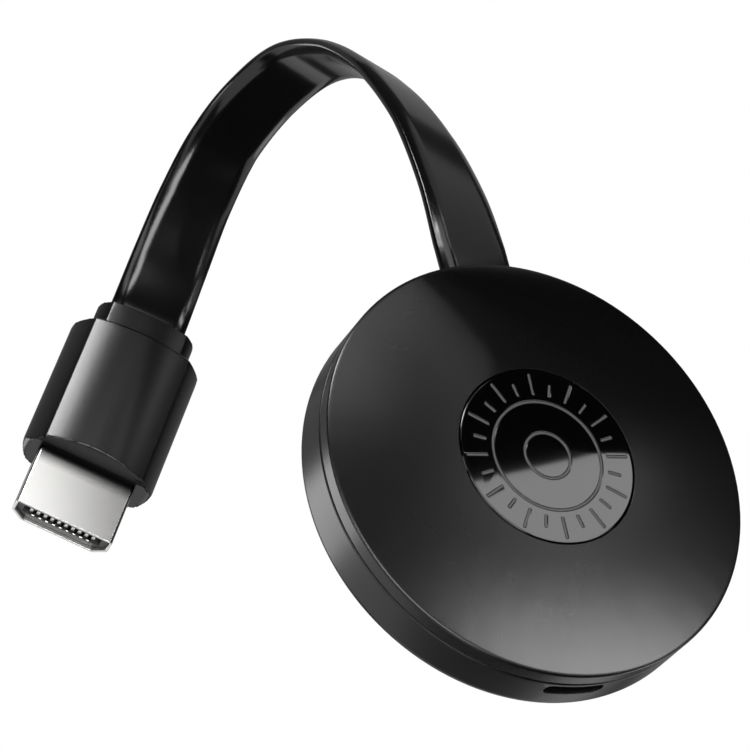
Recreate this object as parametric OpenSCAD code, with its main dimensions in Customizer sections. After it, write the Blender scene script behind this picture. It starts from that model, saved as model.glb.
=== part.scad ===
// HDMI dongle: a round two-piece housing with its circuit board, a flat cable
// that leaves the rim in a half-turn bend, and a moulded HDMI type A plug.
// Units are millimetres. The origin is the centre of the plug's front face, where
// it seats on a port. +X is across the disc, -Y is the way its domed face looks,
// and +Z is the way the cable leaves the rim.

/* [Disc] */
// Diameter of the round housing
disc_d = 55.5; // [50:0.5:66]
// Height of the rim, from the flat rear face to the front edge
disc_h = 9; // [8.8:0.1:11]
// Height of the parting line above the rear face
seam_h = 6.7; // [6.4:0.1:7]
// Gap between the two covers at the parting line
seam_gap = 0.25; // [0.2:0.05:0.4]
// How far the domed face rises above its edge
face_rise = 2.7; // [2.2:0.1:4]
// Thickness of the covers' walls
wall = 1.4; // [1.2:0.1:1.6]
// Radius of the rear cover's outer edge
rear_round = 1.5; // [0.8:0.1:2]
// Radius of the front cover's outer edge
front_round = 0.3; // [0.2:0.05:0.5]
// Width of the narrow facet between that edge and the domed face
facet_w = 0.35; // [0.2:0.05:0.6]
// Slope of the facet, in degrees
facet_angle = 24; // [18:1:30]
// Bevel of both covers where they meet
seam_bevel = 0.1; // [0.05:0.05:0.2]

/* [Joint between the covers] */
// Thickness of the tongue inside the wall
tongue_t = 0.9; // [0.7:0.1:1.1]
// Depth of the tongue below the parting line
tongue_l = 1.4; // [1:0.1:1.8]
// Clearance round the tongue
tongue_clear = 0.12; // [0.08:0.01:0.2]
// Height of a snap bead on the tongue
bead_r = 0.3; // [0.2:0.05:0.35]
// Number of snap beads
bead_count = 4; // [3:1:4]

/* [Face inlay] */
// Diameter of the glossy inlay
inlay_d = 23.4; // [18:0.2:28]
// Thickness of the inlay
inlay_t = 0.8; // [0.6:0.1:1]
// Clearance round the inlay
inlay_clear = 0.08; // [0.05:0.01:0.15]
// Thickness of the adhesive disc under the inlay
tape_t = 0.15; // [0.1:0.05:0.2]
// Width of the engraved lines
line_w = 0.32; // [0.2:0.02:0.4]
// Depth of the engraved lines
line_depth = 0.2; // [0.1:0.05:0.3]
// Number of strokes in the dial
stroke_count = 24; // [12:1:36]
// Bevel of the inlay's edge
inlay_edge = 0.2; // [0.1:0.05:0.3]

/* [Board] */
// Clearance between the circuit board and the tongue round it
board_clear = 1; // [0.8:0.1:1.4]
// Thickness of the circuit board
board_t = 1; // [0.8:0.1:1.2]
// Height of the board's underside above the rear face
board_z = 2.7; // [2.5:0.1:2.8]
// Diameter of a screw boss
boss_d = 4.6; // [4:0.1:5]
// Distance of the bosses' centres from the board's edge
boss_inset = 4.7; // [4.4:0.1:5]
// Diameter of a screw's shank
screw_d = 1.6; // [1.2:0.1:1.8]
// Diameter of a screw's head
screw_head_d = 3.2; // [2.8:0.1:3.4]
// Height of a screw's head
screw_head_h = 0.9; // [0.6:0.1:1]

/* [Chips] */
// Side of the processor
processor_w = 14; // [12:0.5:15]
// Height of the processor
processor_h = 1.3; // [1:0.1:1.5]
// Thickness of the thermal pad
pad_t = 0.5; // [0.3:0.1:0.7]
// Side of the heat spreader
spreader_w = 18; // [16:0.5:19]
// Thickness of the heat spreader
spreader_t = 0.8; // [0.6:0.1:1]
// Height of the heat spreader's fins
fin_h = 0.9; // [0.5:0.1:1]
// Width of a memory chip
memory_w = 7.5; // [6:0.5:8]
// Length of a memory chip
memory_l = 10.5; // [9:0.5:11]
// Height of the memory and storage chips
memory_h = 1; // [0.8:0.1:1.2]
// Side of the wireless module
wireless_w = 12; // [10:0.5:12.5]
// Height of the wireless module's can
wireless_h = 1.6; // [1.2:0.1:2]

/* [USB socket] */
// Width of the socket's metal shell
usb_w = 7.4; // [7:0.1:7.8]
// Height of the socket's metal shell
usb_h = 2.5; // [2.3:0.1:2.6]
// Depth of the socket
usb_l = 5.4; // [5:0.1:6]
// Thickness of the socket's sheet metal
usb_sheet = 0.28; // [0.2:0.02:0.3]
// Width of the slot in the rim
usb_slot_w = 7.8; // [7.4:0.1:8.4]
// Height of the slot in the rim
usb_slot_h = 2.1; // [1.9:0.1:2.2]
// Radius of the slot's corners
usb_slot_round = 0.85; // [0.5:0.05:0.9]

/* [Reset button] */
// Diameter of the button
button_d = 2.4; // [2:0.1:2.6]
// Width of the flange that keeps the button in
button_flange_w = 0.6; // [0.5:0.1:0.8]
// Height of the button's middle above the board
button_rise = 1.1; // [1:0.1:1.2]
// How far the button stands out of the rim
button_proud = 0.25; // [0.1:0.05:0.4]
// Travel of the button
button_travel = 0.3; // [0.2:0.05:0.4]
// Clearance round the button
button_clear = 0.1; // [0.06:0.01:0.15]
// Place of the button round the rim, in degrees from the +X side
button_angle = -30; // [-40:1:-22]

/* [Cable] */
// Width of the flat cable where it leaves the disc
cable_w = 9.6; // [8:0.2:10.6]
// Width of the flat cable where it enters the plug
cable_plug_w = 11; // [9:0.2:11.4]
// Thickness of the flat cable
cable_t = 1.8; // [1.4:0.1:2]
// Height of the cable's middle above the rear face
cable_z = 5; // [4.8:0.1:5.2]
// Width of the block that holds the cable inside the disc
anchor_w = 12; // [11.4:0.2:12.4]
// Length of that block
anchor_l = 5; // [4:0.5:6]
// Height of that block
anchor_h = 3; // [2.6:0.1:3.2]

/* [Plug] */
// Width of the moulded plug body
plug_w = 18.5; // [17.5:0.1:21]
// Thickness of the moulded plug body at its middle
plug_t = 10.6; // [10:0.2:12]
// Length of the moulded plug body
plug_l = 21.2; // [19:0.1:30]
// Radius of the plug body's long edges
plug_round = 4.4; // [2:0.1:4.6]
// How far the wide faces fall from their middle to their sides
plug_crown = 2.2; // [0.5:0.1:2.4]
// Radius of the plug body's shoulders at the cable end
shoulder_round = 3; // [1.5:0.1:3.4]
// Radius of the plug body's corners at its front
front_corner_r = 1.6; // [0.8:0.1:2]
// How far the front face slopes back at the wide faces
front_slope = 1.1; // [0.6:0.1:1.4]
// Width of that slope
front_slope_w = 2.4; // [1.6:0.1:2.6]
// Width of the collar at the cable end
collar_w = 14.2; // [12.4:0.2:14.4]
// Thickness of the collar at its middle
collar_t = 6; // [4:0.2:7]
// Length of the collar
collar_l = 4.4; // [2:0.1:6]
// How far the collar's wide faces fall from their middle to their sides
collar_crown = 0.8; // [0.2:0.1:1]
// Radius of the collar's shoulders
collar_round = 1.2; // [0.5:0.1:1.3]
// Lean of the plug in the plane of the disc, in degrees
plug_lean = 29; // [25:1:33]
// Turn of the plug about the disc's upright, in degrees
plug_turn = -3.5; // [-6:0.5:3]

/* [HDMI end] */
// Width of the metal shell
shell_w = 13.9; // [13.8:0.05:14]
// Height of the metal shell
shell_h = 4.45; // [4.4:0.05:4.55]
// Exposed length of the metal shell
shell_out = 9.4; // [8.5:0.1:12]
// Length of the metal shell inside the plug body
shell_in = 6; // [5:0.5:8]
// Thickness of the metal shell
shell_t = 0.35; // [0.3:0.01:0.4]
// Size of the two bevelled corners
shell_bevel = 1.7; // [1.4:0.1:2]
// How far the insulator lies behind the shell's mouth
insulator_back = 0.5; // [0.3:0.1:1]
// Height of the slot in the insulator
slot_h = 1.7; // [1.5:0.1:1.9]
// Width of the slot in the insulator
slot_w = 11.2; // [11:0.1:11.4]
// Depth of the slot in the insulator
slot_l = 7; // [6.5:0.1:7.2]
// Distance between neighbouring contacts of one row
contact_pitch = 1; // [0.98:0.01:1.02]
// Width of a contact
contact_w = 0.45; // [0.35:0.05:0.5]
// Thickness of a contact
contact_t = 0.22; // [0.18:0.02:0.26]

/* [Hidden] */
$fn = 96;

// Overrun of every cut past the face that it opens
over = 0.5;

// Route of the cable's middle line, from the anchor inside the rim to the collar,
// and how far the flat cable is twisted at each of its points, in degrees.
// Its own zero is the middle of the cable where it passes the rim.
cable_route = [
    [0, 0, -3.5], [0, 0.3, 5], [0.8, 2.6, 15], [1.2, 6.8, 26.6], [0.8, 12.8, 37.6], [-0.2, 20, 45.6],
    [-2.4, 27.6, 49.6], [-5.4, 35.4, 49.2], [-9, 42.2, 45.6], [-12.6, 47.6, 39.2], [-16.2, 52, 31.4],
    [-20.2, 55.4, 22.9]
];
cable_twists = [0, 0, -8, -16, -19, -14, -5, 6, 14, 12, 5, 0];
cable_steps = 4;

// Derived sizes of the disc
disc_r = disc_d / 2;
inner_r = disc_r - wall;
tongue_r = inner_r - tongue_clear;
tongue_inner_r = tongue_r - tongue_t;
rear_top = seam_h - seam_gap / 2;
front_low = seam_h + seam_gap / 2;
facet_low = [disc_r, disc_h] - front_round * [1 - sin(facet_angle), 1 - cos(facet_angle)];
facet_high = facet_low + facet_w * [-cos(facet_angle), sin(facet_angle)];
cap_r = (facet_high[0] * facet_high[0] + face_rise * face_rise) / (2 * face_rise);
cap_z = facet_high[1] + face_rise - cap_r;
inlay_r = inlay_d / 2;
inlay_top = cap_z + sqrt(cap_r * cap_r - inlay_r * inlay_r);
inlay_low = inlay_top - inlay_t;
recess_low = inlay_low - tape_t;
recess_floor_t = 1;
bead_share = 0.6;
bead_z = seam_h - tongue_l * bead_share;
bead_angle = 24;
bead_groove_clear = 0.08;

// Derived sizes of the board and what stands on it
board_r = tongue_inner_r - board_clear;
board_top = board_z + board_t;
boss_circle_r = board_r - boss_inset;
boss_angles = [50, 145, 235];
boss_foot_r = 0.6;
pilot_clear = 0.05;
board_hole_clear = 0.2;
usb_mid_z = board_top + usb_h / 2;
usb_mouth_y = sqrt(inner_r * inner_r - usb_w * usb_w / 4) - tongue_clear;
usb_corner_r = 0.5;
usb_bevel_share = 0.38;
usb_tongue_t = 0.7;
usb_tongue_back = 0.6;
usb_base_l = 1.2;
usb_contact_count = 5;
usb_contact_pitch = 0.65;
usb_contact_w = 0.32;
usb_contact_t = 0.12;
fit_gap = 0.05;

// Derived sizes of the button and its switch
button_r = button_d / 2;
button_flange_r = button_r + button_flange_w;
button_flange_t = 0.6;
button_z = board_top + button_rise;
flange_out = sqrt(inner_r * inner_r - button_flange_r * button_flange_r) - button_clear;
flange_in = flange_out - button_flange_t;
switch_w = 4.4;
switch_l = 2.8;
switch_h = 1.9;
plunger_r = 0.6;
plunger_clear = 0.08;
plunger_in = 0.8;
plunger_out = 0.8;
switch_face = flange_in - button_travel - plunger_out;

// Derived sizes of the cable and the frames at its two ends
plug_turn_all = [0, plug_lean, plug_turn];
plug_axis = turned([0, 0, -1]);
plug_across = turned([1, 0, 0]);
route_end = cable_route[len(cable_route) - 1];
rim_point = -(route_end + (plug_l + collar_l) * plug_axis);
anchor_face = disc_r + cable_route[0][2];
disc_place = rim_point + [0, cable_z, -disc_r];
oval_angles = [-75, -45, -15, 15, 45, 75];
notch_clear = 0.2;
wire_count = 10;
wire_r = 0.3;
wire_run = 2.4;

// Derived sizes of the plug's inside
shell_corner_r = 0.5;
shell_fit = 0.05;
insulator_l = shell_out + shell_in - insulator_back;
upper_count = 10;
lower_count = 9;
contact_tip = 0.4;
contact_root = 1.6;
mould_w = 14.6;
mould_t = 6.4;
mould_round = 1.2;
mould_wall = 2;
plug_wire_count = 5;
plug_wire_r = 0.5;

// A vector of the plug's own frame, turned the way the plug is turned
function turned(v) =
    let (c = cos(plug_lean), s = sin(plug_lean), x = c * v[0] + s * v[2], z = c * v[2] - s * v[0])
    [cos(plug_turn) * x - sin(plug_turn) * v[1], sin(plug_turn) * x + cos(plug_turn) * v[1], z];

function unit(v) = v / norm(v);
function blend(a, b, t) = a * (1 - t) + b * t;

// Tangent of the route at one of its points: its neighbours' direction, or at
// either end the direction of what the cable leaves or enters
function route_tangent(i) =
    i == 0 ? norm(cable_route[1] - cable_route[0]) * [0, 0, 1] :
    i == len(cable_route) - 1 ? norm(cable_route[i] - cable_route[i - 1]) * plug_axis :
    (cable_route[i + 1] - cable_route[i - 1]) / 2;

// Smooth curve through the route's points, and its direction
function route_at(i, t) =
    (2 * t * t * t - 3 * t * t + 1) * cable_route[i] + (t * t * t - 2 * t * t + t) * route_tangent(i)
    + (3 * t * t - 2 * t * t * t) * cable_route[i + 1] + (t * t * t - t * t) * route_tangent(i + 1);
function route_direction(i, t) = unit(
    (6 * t * t - 6 * t) * (cable_route[i] - cable_route[i + 1])
    + (3 * t * t - 4 * t + 1) * route_tangent(i) + (3 * t * t - 2 * t) * route_tangent(i + 1));

// The ring of the cable's flat oval section at station k
function ring_at(k) =
    let (
        last = len(cable_route) - 2,
        i = min(floor(k / cable_steps), last),
        t = k / cable_steps - i,
        dir = route_direction(i, t),
        along = k / (cable_steps * (last + 1)),
        lean = blend([1, 0, 0], plug_across, along),
        across = unit(lean - (lean * dir) * dir),
        out = cross(across, dir),
        twist = blend(cable_twists[i], cable_twists[i + 1], t),
        wide = cos(twist) * across + sin(twist) * out,
        thick = cos(twist) * out - sin(twist) * across,
        half = (blend(cable_w, cable_plug_w, along) - cable_t) / 2
    )
    [for (side = [1, -1]) for (a = oval_angles)
        route_at(i, t) + side * ((half + cable_t / 2 * cos(a)) * wide + cable_t / 2 * sin(a) * thick)];

// Outline of a convex shape whose corners are rounded: points are the corners of
// the shape before rounding, in turn anticlockwise
module rounded_outline(points, r) {
    n = len(points);
    inner = [for (i = [0:n - 1])
        let (
            a = unit(points[i] - points[(i + n - 1) % n]),
            b = unit(points[(i + 1) % n] - points[i]),
            na = [-a[1], a[0]],
            nb = [-b[1], b[0]]
        ) points[i] + r * (na + nb) / (1 + na * nb)];
    polygon(inner);
    for (i = [0:n - 1]) {
        p = inner[i];
        q = inner[(i + 1) % n];
        d = unit(q - p);
        polygon([p, p + r * [d[1], -d[0]], q + r * [d[1], -d[0]], q]);
        translate(p) circle(r);
    }
}

module rounded_rectangle(w, h, r) {
    rounded_outline([[-w / 2, -h / 2], [w / 2, -h / 2], [w / 2, h / 2], [-w / 2, h / 2]], r);
}

// Rounded rectangle whose long sides are crowned: they fall by the given amount
module crowned_rectangle(w, h, r, fall) {
    crown_r = (w * w / 4 + fall * fall) / (2 * fall);
    intersection() {
        rounded_rectangle(w, h, r);
        translate([0, h / 2 - crown_r]) circle(crown_r, $fn = 4 * $fn);
        translate([0, crown_r - h / 2]) circle(crown_r, $fn = 4 * $fn);
    }
}

// Box with a rounded outline, standing on z = 0
module rounded_block(w, l, h, r) {
    linear_extrude(h) rounded_rectangle(w, l, r);
}

// The disc's own frame: z = 0 is its rear face, +z its front and +y the cable's side
module place_disc() {
    translate(disc_place) rotate([90, 0, 0]) children();
}

// The plug's own frame: z = 0 is its front face and +z its cable end
module place_plug() {
    rotate(plug_turn_all) children();
}

// A frame at one place round the rim: +x outward at height z
module at_rim(angle, z) {
    translate([0, 0, z]) rotate([0, 0, angle]) children();
}

// Covers
module rear_profile() {
    difference() {
        union() {
            square([disc_r - rear_round, rear_top]);
            translate([0, rear_round]) square([disc_r, rear_top - rear_round]);
            translate([disc_r - rear_round, rear_round]) circle(rear_round);
        }
        translate([0, wall]) square([inner_r, rear_top]);
        translate([-2 * disc_r, -disc_r]) square([2 * disc_r, 2 * disc_r]);
        translate([disc_r, rear_top]) rotate(45) square(seam_bevel * sqrt(2), center = true);
        translate([inner_r, bead_z]) circle(bead_r + bead_groove_clear);
    }
}

module screw_boss() {
    translate([0, 0, wall]) cylinder(h = board_z - wall, d = boss_d);
    translate([0, 0, wall]) cylinder(h = boss_foot_r, r1 = boss_d / 2 + boss_foot_r, r2 = boss_d / 2);
}

module usb_cut() {
    rotate([90, 0, 0]) linear_extrude(disc_d)
        rounded_rectangle(usb_slot_w, usb_slot_h, usb_slot_round);
}

module rear_cover() {
    color([0.05, 0.05, 0.055]) place_disc() difference() {
        union() {
            rotate_extrude() rear_profile();
            for (a = boss_angles) at_rim(a, 0) translate([boss_circle_r, 0, 0]) screw_boss();
        }
        for (a = boss_angles) at_rim(a, wall)
            translate([boss_circle_r, 0, 0]) cylinder(h = board_z, d = screw_d + 2 * pilot_clear);
        translate([0, 0, usb_mid_z]) usb_cut();
        translate([-cable_w / 2 - notch_clear, 0, cable_z - cable_t / 2 - notch_clear])
            cube([cable_w + 2 * notch_clear, disc_d, disc_h]);
        at_rim(button_angle, button_z) rotate([0, 90, 0])
            cylinder(h = disc_d, r = button_r + button_clear);
    }
}

// Half section of the front cover: its outside, and then the hollow and the recess
module front_outside() {
    translate([0, front_low]) square([disc_r, disc_h - front_round - front_low]);
    translate([disc_r - front_round, disc_h - front_round]) circle(front_round);
    polygon([
        [0, front_low], [disc_r - front_round, front_low],
        [disc_r - front_round, disc_h - front_round],
        facet_low, facet_high, [0, facet_high[1]]
    ]);
    intersection() {
        translate([0, cap_z]) circle(cap_r, $fn = 4 * $fn);
        translate([0, disc_h - front_round]) square([facet_high[0], face_rise + wall]);
    }
    translate([tongue_inner_r, seam_h - tongue_l]) square([tongue_t, tongue_l + wall]);
}

module front_profile() {
    recess_r = inlay_r + inlay_clear;
    difference() {
        union() {
            difference() {
                front_outside();
                intersection() {
                    translate([0, cap_z]) circle(cap_r - wall, $fn = 4 * $fn);
                    square([tongue_inner_r, 2 * disc_h]);
                }
                translate([disc_r, front_low]) rotate(45) square(seam_bevel * sqrt(2), center = true);
            }
            translate([0, recess_low - recess_floor_t])
                square([recess_r + recess_floor_t, recess_floor_t]);
        }
        translate([0, recess_low]) square([recess_r, disc_h]);
        translate([-2 * disc_r, -disc_r]) square([2 * disc_r, 4 * disc_r]);
    }
}

module snap_beads() {
    for (i = [0:bead_count - 1]) rotate([0, 0, (i + 1 / 2) * 360 / bead_count - bead_angle / 2])
        rotate_extrude(angle = bead_angle) translate([tongue_r, bead_z]) circle(bead_r);
}

module front_cover() {
    color([0.07, 0.07, 0.075]) place_disc() difference() {
        union() {
            rotate_extrude() front_profile();
            snap_beads();
        }
        translate([-usb_slot_w / 2 - wall, -disc_r, 0])
            cube([usb_slot_w + 2 * wall, disc_r - board_r / 2, front_low]);
        translate([-cable_w / 2 - notch_clear, 0, 0])
            cube([cable_w + 2 * notch_clear, disc_r, cable_z + cable_t / 2 + notch_clear]);
        at_rim(button_angle, 0) translate([board_r / 2, -button_flange_r - notch_clear, 0])
            cube([disc_r - board_r / 2, 2 * (button_flange_r + notch_clear), front_low]);
    }
}

// Inlay with an engraved dial: two rings and strokes between them
ring_shares = [0.26, 0.62];
stroke_inner_share = 0.7;
stroke_outer_share = 0.84;
long_stroke_share = 0.94;

module engraved_ring(r) {
    rotate_extrude() translate([r - line_w / 2, inlay_top - line_depth])
        square([line_w, line_depth + over]);
}

module engraved_stroke(angle, from, to) {
    rotate([0, 0, angle]) translate([from, -line_w / 2, inlay_top - line_depth])
        cube([to - from, line_w, line_depth + over]);
}

module face_inlay() {
    color([0.02, 0.02, 0.02]) place_disc() difference() {
        translate([0, 0, inlay_low]) union() {
            cylinder(h = inlay_t - inlay_edge, r = inlay_r);
            translate([0, 0, inlay_t - inlay_edge])
                cylinder(h = inlay_edge, r1 = inlay_r, r2 = inlay_r - inlay_edge);
        }
        for (s = ring_shares) engraved_ring(s * inlay_r);
        for (i = [0:stroke_count - 1]) {
            end_share = i % 2 == 0 ? long_stroke_share : stroke_outer_share;
            engraved_stroke(i * 360 / stroke_count, stroke_inner_share * inlay_r, end_share * inlay_r);
        }
    }
}

module inlay_tape() {
    color([0.75, 0.72, 0.62]) place_disc() translate([0, 0, recess_low])
        cylinder(h = tape_t, r = inlay_r - tape_t);
}

// Board and what stands on it
module circuit_board() {
    color([0.03, 0.25, 0.12]) place_disc() difference() {
        translate([0, 0, board_z]) cylinder(h = board_t, r = board_r);
        for (a = boss_angles) at_rim(a, 0)
            translate([boss_circle_r, 0, 0]) cylinder(h = disc_h, d = screw_d + 2 * board_hole_clear);
    }
}

module board_screws() {
    socket_share = 0.5;
    socket_w = screw_head_d * socket_share;
    socket_t = screw_head_h * socket_share / 2;
    color([0.72, 0.72, 0.74]) place_disc() for (a = boss_angles) at_rim(a, 0)
        translate([boss_circle_r, 0, 0]) difference() {
            union() {
                translate([0, 0, wall + fit_gap]) cylinder(h = board_top - wall - fit_gap, d = screw_d);
                translate([0, 0, board_top]) cylinder(h = screw_head_h, d = screw_head_d);
            }
            for (r = [0, 90]) rotate([0, 0, r])
                translate([-socket_w / 2, -socket_t / 2, board_top + screw_head_h * socket_share])
                    cube([socket_w, socket_t, screw_head_h]);
        }
}

// Places on the board, as shares of its radius
processor_share = [-0.05, 0.1];
memory_shares = [[0.52, 0.26], [0.52, -0.24]];
storage_share = [-0.1, -0.45];
wireless_share = [-0.6, -0.2];
antenna_share = [0.44, -0.78];

// Radius of a chip's corners, as a share of its height
chip_round_share = 0.3;

module on_board(share) {
    translate([share[0] * board_r, share[1] * board_r, board_top]) children();
}

module processor() {
    color([0.12, 0.12, 0.13]) place_disc() on_board(processor_share)
        rounded_block(processor_w, processor_w, processor_h, processor_h * chip_round_share);
}

module thermal_pad() {
    color([0.6, 0.62, 0.66]) place_disc() on_board(processor_share) translate([0, 0, processor_h])
        rounded_block(processor_w - 2 * pad_t, processor_w - 2 * pad_t, pad_t, pad_t);
}

module heat_spreader() {
    fins = 6;
    fin_share = 0.8;
    fin_l = spreader_w * fin_share;
    fin_pitch = spreader_w / fins;
    color([0.78, 0.79, 0.8]) place_disc() on_board(processor_share)
        translate([0, 0, processor_h + pad_t]) {
            rounded_block(spreader_w, spreader_w, spreader_t, spreader_t);
            for (i = [0:fins - 1])
                translate([(i - (fins - 1) / 2) * fin_pitch - spreader_t / 2, -fin_l / 2, spreader_t])
                    cube([spreader_t, fin_l, fin_h]);
        }
}

module memory_chips() {
    color([0.1, 0.1, 0.11]) place_disc() for (share = memory_shares) on_board(share)
        rounded_block(memory_w, memory_l, memory_h, memory_h * chip_round_share);
}

module storage_chip() {
    color([0.1, 0.1, 0.11]) place_disc() on_board(storage_share)
        rounded_block(memory_l, memory_w, memory_h, memory_h * chip_round_share);
}

// Wireless module: a small board with a metal can on it
module wireless_module() {
    base_share = 0.35;
    slim_share = 0.8;
    can_share = 0.86;
    base_h = wireless_h * base_share;
    base_w = wireless_w * slim_share;
    color([0.66, 0.67, 0.69]) place_disc() on_board(wireless_share) {
        rounded_block(base_w, wireless_w, base_h, base_h);
        translate([0, 0, base_h])
            rounded_block(base_w * can_share, wireless_w * can_share, wireless_h - base_h, base_h);
    }
}

// Folded strip antenna: a foot along the board's edge and a meander on it
antenna_w = 9;
antenna_l = 3;
antenna_turn = 35;
antenna_t = 0.4;
antenna_turns = 4;

module antenna() {
    step = antenna_w / (2 * antenna_turns);
    strip = step / 2;
    color([0.8, 0.62, 0.25]) place_disc() on_board(antenna_share)
        rotate([0, 0, antenna_turn]) linear_extrude(antenna_t) {
            for (i = [0:antenna_turns])
                translate([2 * i * step - antenna_w / 2, 0]) square([strip, antenna_l]);
            for (i = [0:antenna_turns - 1])
                translate([2 * i * step - antenna_w / 2, i % 2 == 0 ? antenna_l - strip : 0])
                    square([2 * step + strip, strip]);
        }
}

// Coils of the supply: a body with a shallow round dish on it
power_w = 3;
power_h = 1.5;
power_dish_r = 0.9;
power_dish_l = 0.3;
power_shares = [[0.24, -0.58], [0.06, -0.72], [-0.3, -0.72]];

module power_parts() {
    color([0.2, 0.2, 0.22]) place_disc() for (share = power_shares) on_board(share) difference() {
        rounded_block(power_w, power_w, power_h, power_h * chip_round_share);
        translate([0, 0, power_h - power_dish_l]) cylinder(h = power_h, r = power_dish_r);
    }
}

chip_l = 1.6;
chip_h = 0.5;
small_shares = [
    [-0.42, 0.62], [-0.3, 0.62], [-0.08, 0.56], [0.08, 0.56], [0.3, 0.62], [0.4, 0.62],
    [0.2, -0.3], [0.2, -0.4], [0.72, 0.08], [0.8, 0.08], [-0.75, 0.16]
];

module small_parts() {
    color([0.55, 0.45, 0.33]) place_disc() for (share = small_shares) on_board(share)
        translate([-chip_l / 4, -chip_l / 2, 0]) cube([chip_l / 2, chip_l, chip_h]);
}

// Micro USB socket: mouth towards -y in the disc's frame
module usb_outline(w, h, r) {
    b = h * usb_bevel_share;
    rounded_outline([
        [-w / 2 + b, -h / 2], [w / 2 - b, -h / 2], [w / 2, -h / 2 + b],
        [w / 2, h / 2], [-w / 2, h / 2], [-w / 2, -h / 2 + b]
    ], r);
}

module place_usb() {
    translate([0, -usb_mouth_y, usb_mid_z]) rotate([-90, 0, 0]) mirror([0, 1, 0]) children();
}

module usb_socket_shell() {
    color([0.75, 0.76, 0.78]) place_disc() place_usb() difference() {
        linear_extrude(usb_l) usb_outline(usb_w, usb_h, usb_corner_r);
        translate([0, 0, -over]) linear_extrude(usb_l + 2 * over)
            usb_outline(usb_w - 2 * usb_sheet, usb_h - 2 * usb_sheet, usb_corner_r - usb_sheet / 2);
    }
}

module usb_socket_tongue() {
    inner_w = usb_w - 2 * usb_sheet - 2 * fit_gap;
    inner_h = usb_h - 2 * usb_sheet - 2 * fit_gap;
    color([0.03, 0.03, 0.03]) place_disc() place_usb() {
        translate([0, 0, usb_l - usb_base_l]) linear_extrude(usb_base_l)
            usb_outline(inner_w, inner_h, usb_corner_r / 2);
        translate([-inner_w / 2 + usb_tongue_t, usb_tongue_t / 4, usb_tongue_back])
            cube([inner_w - 2 * usb_tongue_t, usb_tongue_t, usb_l - usb_tongue_back - usb_base_l]);
    }
}

module usb_contacts() {
    first = -(usb_contact_count - 1) / 2 * usb_contact_pitch - usb_contact_w / 2;
    low = usb_tongue_t / 4 - usb_contact_t;
    color([0.85, 0.68, 0.3]) place_disc() place_usb() for (i = [0:usb_contact_count - 1])
        translate([first + i * usb_contact_pitch, low, 2 * usb_tongue_back])
            cube([usb_contact_w, usb_contact_t, usb_l - usb_base_l - 2 * usb_tongue_back]);
}

// Reset button, its switch and the switch's plunger: +x is outward
module along_rim_axis() {
    place_disc() at_rim(button_angle, button_z) rotate([0, 90, 0]) children();
}

module tact_switch() {
    color([0.6, 0.6, 0.62]) place_disc() at_rim(button_angle, 0) difference() {
        translate([switch_face - switch_l, -switch_w / 2, board_top])
            cube([switch_l, switch_w, switch_h]);
        translate([switch_face - plunger_in - button_travel - fit_gap, 0, button_z]) rotate([0, 90, 0])
            cylinder(h = switch_l, r = plunger_r + plunger_clear);
    }
}

module switch_plunger() {
    color([0.85, 0.85, 0.83]) along_rim_axis() translate([0, 0, switch_face - plunger_in])
        cylinder(h = flange_in - switch_face + plunger_in, r = plunger_r);
}

module reset_button() {
    dish_share = 0.7;
    color([0.06, 0.06, 0.065]) along_rim_axis() difference() {
        union() {
            translate([0, 0, flange_in]) cylinder(h = button_flange_t, r = button_flange_r);
            translate([0, 0, flange_in]) cylinder(h = disc_r + button_proud - flange_in, r = button_r);
        }
        translate([0, 0, disc_r + button_proud / 2])
            cylinder(h = button_proud, r = button_r * dish_share);
    }
}

// Cable and what holds it in the disc
module cable_anchor() {
    color([0.04, 0.04, 0.04]) place_disc() translate([0, anchor_face - anchor_l / 2, board_top])
        rounded_block(anchor_w, anchor_l, anchor_h, anchor_h / 6);
}

// One conductor: it slopes from the anchor's back down to the board
module wire_at(x) {
    back = anchor_face - anchor_l;
    slope = atan2(cable_z - board_top, wire_run);
    intersection() {
        translate([x, back + wire_r, cable_z + wire_r * tan(slope)]) rotate([90 + slope, 0, 0])
            cylinder(h = 2 * wire_run, r = wire_r, $fn = 48);
        translate([x - 2 * wire_r, back - 2 * wire_run, board_top])
            cube([4 * wire_r, 2 * wire_run, cable_z]);
    }
}

module cable_wires() {
    color([0.75, 0.5, 0.3]) place_disc() for (i = [0:wire_count - 1])
        wire_at((i - (wire_count - 1) / 2) * cable_w / (wire_count + 1));
}

module flat_cable() {
    stations = cable_steps * (len(cable_route) - 1);
    sides = 2 * len(oval_angles);
    rings = [for (k = [0:stations]) ring_at(k)];
    points = [for (ring = rings) for (p = ring) p];
    faces = concat(
        [[for (j = [0:sides - 1]) j]],
        [for (k = [0:stations - 1]) for (j = [0:sides - 1]) let (
            a = k * sides + j, b = k * sides + (j + 1) % sides) [b, a, a + sides]],
        [for (k = [0:stations - 1]) for (j = [0:sides - 1]) let (
            a = k * sides + j, b = k * sides + (j + 1) % sides) [b, a + sides, b + sides]],
        [[for (j = [sides - 1:-1:0]) stations * sides + j]]
    );
    color([0.05, 0.05, 0.05]) translate(rim_point) polyhedron(points, faces);
}

// Plug
module plug_collar() {
    color([0.09, 0.09, 0.1]) place_plug() intersection() {
        translate([0, 0, plug_l]) linear_extrude(collar_l)
            crowned_rectangle(collar_w, collar_t, collar_t / 2 - collar_crown, collar_crown);
        flat_on(collar_t) rounded_rectangle(collar_w, 2 * (plug_l + collar_l), collar_round);
    }
}

// A shape drawn across the plug's width and length, given the thickness t
module flat_on(t) {
    translate([0, t / 2, 0]) rotate([90, 0, 0]) linear_extrude(t) children();
}

// Side view of the plug body, whose front face slopes back towards both wide faces
module sloped_front() {
    polygon([
        [front_slope_w - plug_t / 2, 0], [plug_t / 2 - front_slope_w, 0], [plug_t / 2, front_slope],
        [plug_t / 2, plug_l], [-plug_t / 2, plug_l], [-plug_t / 2, front_slope]
    ]);
}

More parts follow.
